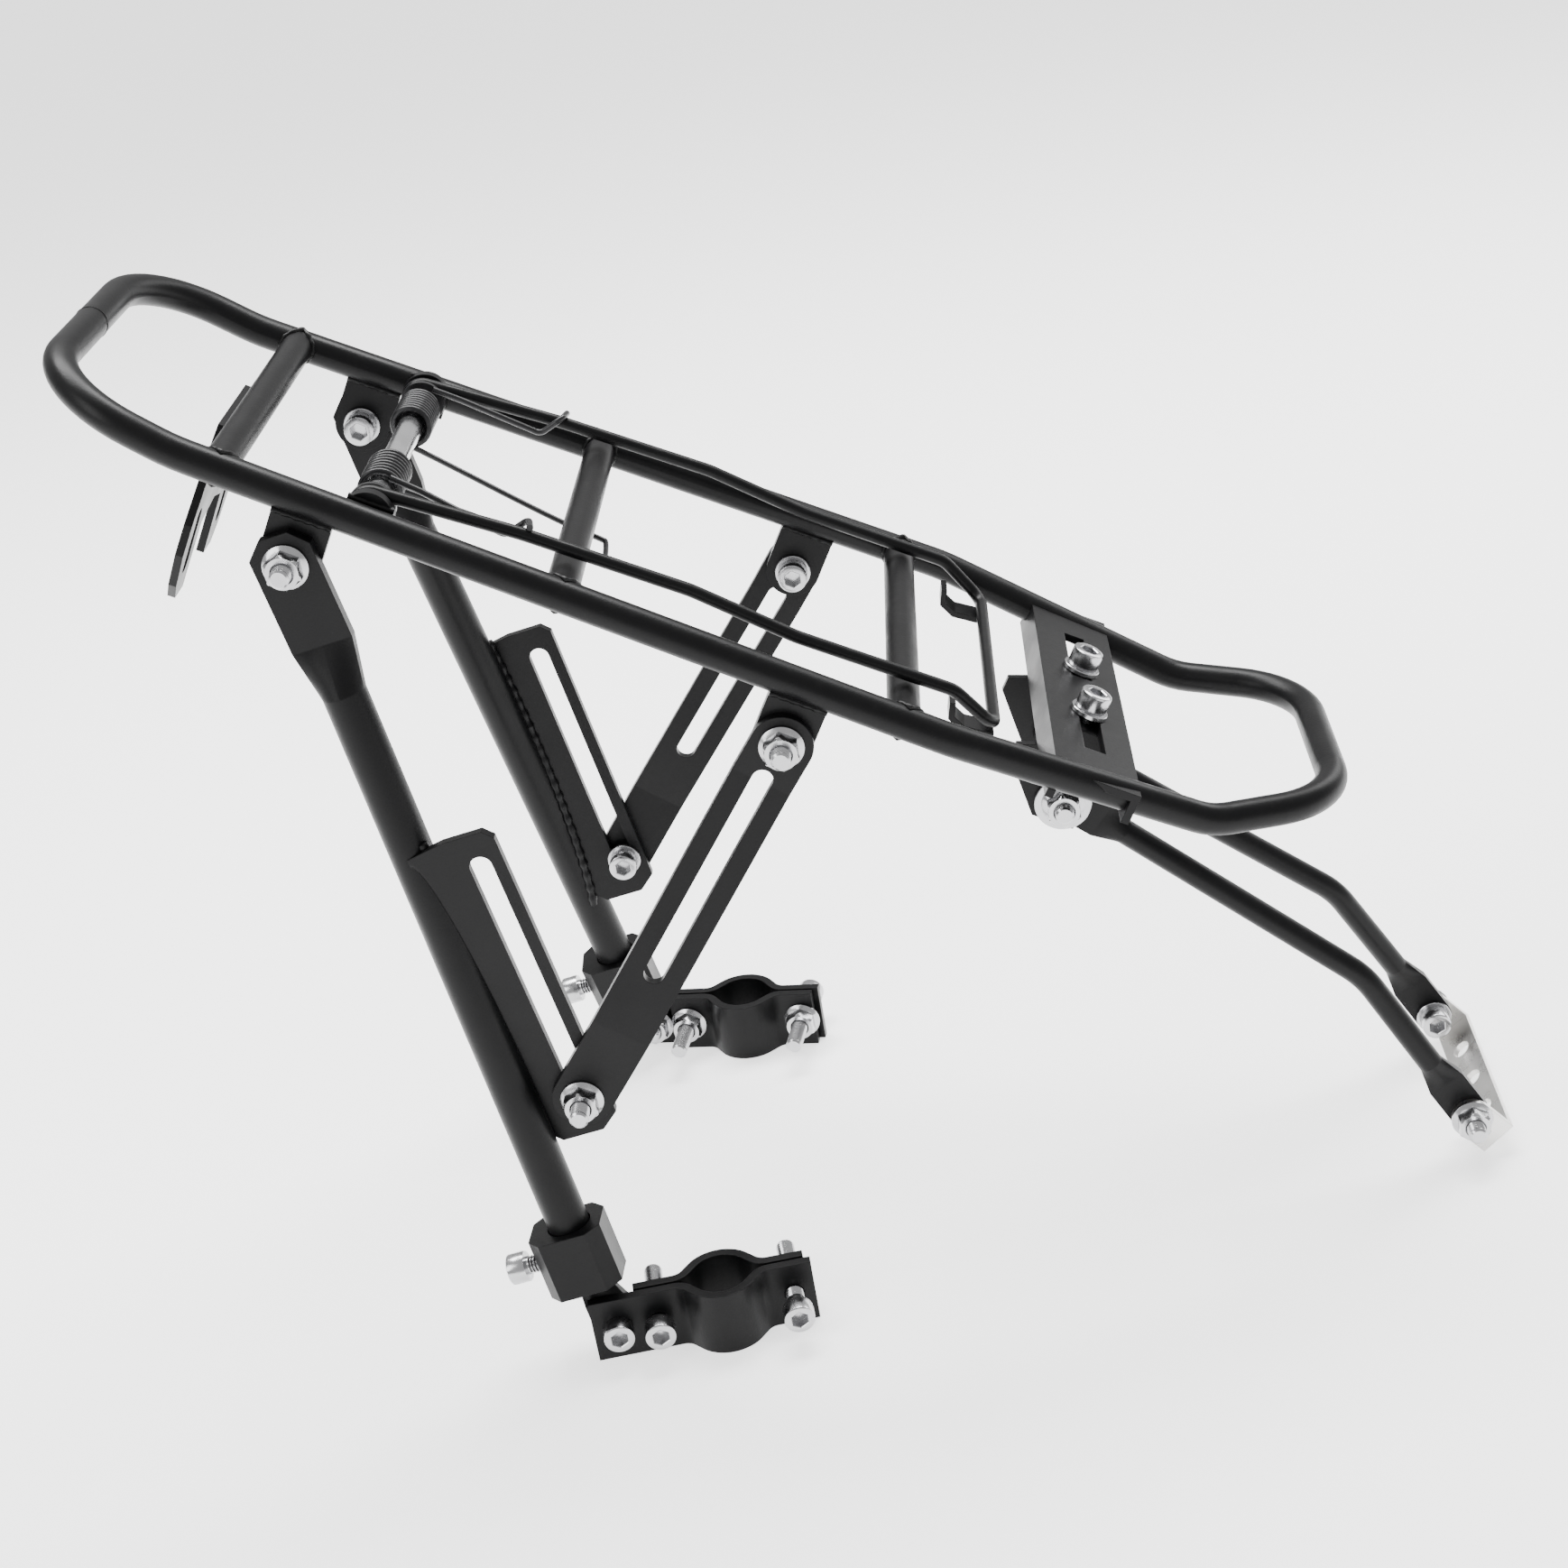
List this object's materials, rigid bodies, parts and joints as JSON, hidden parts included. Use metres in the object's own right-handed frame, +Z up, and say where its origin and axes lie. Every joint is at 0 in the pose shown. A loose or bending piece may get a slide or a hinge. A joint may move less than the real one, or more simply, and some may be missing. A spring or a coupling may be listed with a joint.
{
  "type": "bicycle rear rack",
  "caption": "Black tubular bicycle rear rack with a spring clamp on the deck, two telescopic legs with slotted braces, foot clamps, and two front stays joined by a bright bracket.",
  "frame": {"origin": "middle of the underside of the bounding box, on the floor the rack stands on", "axes": "+X towards the front of the bicycle, +Y to its left, +Z up"},
  "size_m": [0.4116, 0.2056, 0.336],
  "materials": {
    "black_coat": "satin",
    "spring_steel": "satin",
    "bright_steel": "satin",
    "zinc_hardware": "glossy"
  },
  "bodies": {
    "rack": {"angle_bracket_left": "black_coat", "angle_bracket_right": "black_coat", "axle_ears": "black_coat", "axle_washers": "zinc_hardware", "channel_nuts": "zinc_hardware", "channel_screws": "zinc_hardware", "channel_washers": "zinc_hardware", "cross_tube_front": "black_coat", "cross_tube_middle": "black_coat", "cross_tube_rear": "black_coat", "front_channel": "black_coat", "loop_tube": "black_coat", "middle_lugs": "black_coat", "pivot_nuts": "zinc_hardware", "pivot_screws": "zinc_hardware", "pivot_washers": "zinc_hardware", "rear_lugs": "black_coat", "reflector_bracket": "black_coat", "spring_axle": "bright_steel", "spring_sleeve": "bright_steel", "stay_pivot_nuts": "zinc_hardware", "stay_pivot_screws": "zinc_hardware", "stay_pivot_washers": "zinc_hardware", "torsion_spring": "spring_steel"},
    "spring_clamp": {"clamp_bow": "black_coat", "clamp_lips": "black_coat", "spring_arms": "spring_steel"},
    "stays": {"stay_left": "black_coat", "stay_right": "black_coat", "end_screws": "zinc_hardware", "end_washers": "zinc_hardware", "end_nuts": "zinc_hardware"},
    "front_bracket_body": {"front_bracket": "bright_steel"},
    "leg_assembly_left": {"leg_left": "black_coat", "leg_plate_left": "black_coat", "collar_left": "black_coat", "set_screw_left": "zinc_hardware"},
    "brace_assembly_left": {"brace_left": "black_coat", "brace_screw_left": "zinc_hardware", "brace_washer_left": "zinc_hardware", "brace_nut_left": "zinc_hardware"},
    "foot_left": {"foot_tube_left": "black_coat"},
    "foot_clamp_left": {"clamp_strip_outer_left": "black_coat", "clamp_strip_inner_left": "black_coat", "foot_screws_left": "zinc_hardware", "foot_nuts_left": "zinc_hardware"},
    "leg_assembly_right": {"leg_right": "black_coat", "leg_plate_right": "black_coat", "collar_right": "black_coat", "set_screw_right": "zinc_hardware"},
    "brace_assembly_right": {"brace_right": "black_coat", "brace_screw_right": "zinc_hardware", "brace_washer_right": "zinc_hardware", "brace_nut_right": "zinc_hardware"},
    "foot_right": {"foot_tube_right": "black_coat"},
    "foot_clamp_right": {"clamp_strip_outer_right": "black_coat", "clamp_strip_inner_right": "black_coat", "foot_screws_right": "zinc_hardware", "foot_nuts_right": "zinc_hardware"}
  },
  "joints": [
    {"name": "clamp_hinge", "type": "hinge", "parent": "rack", "child": "spring_clamp", "pos_m": [-0.11734, 0, 0.27825], "axis": [0, -1, 0], "range_deg": [0, 75], "stiffness_Nm_per_rad": 0.8, "springref_deg": -68.75},
    {"name": "stays_hinge", "type": "hinge", "parent": "rack", "child": "stays", "pos_m": [0.07151, 0, 0.1439], "axis": [0, -1, 0], "range_deg": [-20, 20]},
    {"name": "front_bracket_hinge", "type": "hinge", "parent": "stays", "child": "front_bracket_body", "pos_m": [0.19264, 0, 0.01364], "axis": [0, -1, 0], "range_deg": [-50, 90]},
    {"name": "leg_left_hinge", "type": "hinge", "parent": "rack", "child": "leg_assembly_left", "pos_m": [-0.14125, 0.0593, 0.27018], "axis": [0, 1, 0], "range_deg": [0, 8]},
    {"name": "brace_left_hinge", "type": "hinge", "parent": "rack", "child": "brace_assembly_left", "pos_m": [-0.00866, 0.0655, 0.19668], "axis": [0, 1, 0], "range_deg": [0, 16.6]},
    {"name": "foot_left_slide", "type": "slide", "parent": "leg_assembly_left", "child": "foot_left", "axis": [0.1831, 0.0958, -0.9784], "range_m": [0, 0.04]},
    {"name": "foot_clamp_left_hinge", "type": "hinge", "parent": "foot_left", "child": "foot_clamp_left", "pos_m": [-0.08919, 0.09215, 0.01103], "axis": [0.1478, 0.989, 0], "range_deg": [-12, 12]},
    {"name": "leg_right_hinge", "type": "hinge", "parent": "rack", "child": "leg_assembly_right", "pos_m": [-0.14125, -0.0593, 0.27018], "axis": [0, 1, 0], "range_deg": [0, 8]},
    {"name": "brace_right_hinge", "type": "hinge", "parent": "rack", "child": "brace_assembly_right", "pos_m": [-0.00866, -0.0655, 0.19668], "axis": [0, 1, 0], "range_deg": [0, 16.6]},
    {"name": "foot_right_slide", "type": "slide", "parent": "leg_assembly_right", "child": "foot_right", "axis": [0.1831, -0.0958, -0.9784], "range_m": [0, 0.04]},
    {"name": "foot_clamp_right_hinge", "type": "hinge", "parent": "foot_right", "child": "foot_clamp_right", "pos_m": [-0.08919, -0.09215, 0.01103], "axis": [0.1478, -0.989, 0], "range_deg": [-12, 12]}
  ],
  "couplings": [
    {"joint": "brace_left_hinge", "follows": "leg_left_hinge", "ratio": 2.06},
    {"joint": "brace_right_hinge", "follows": "leg_right_hinge", "ratio": 2.06}
  ]
}
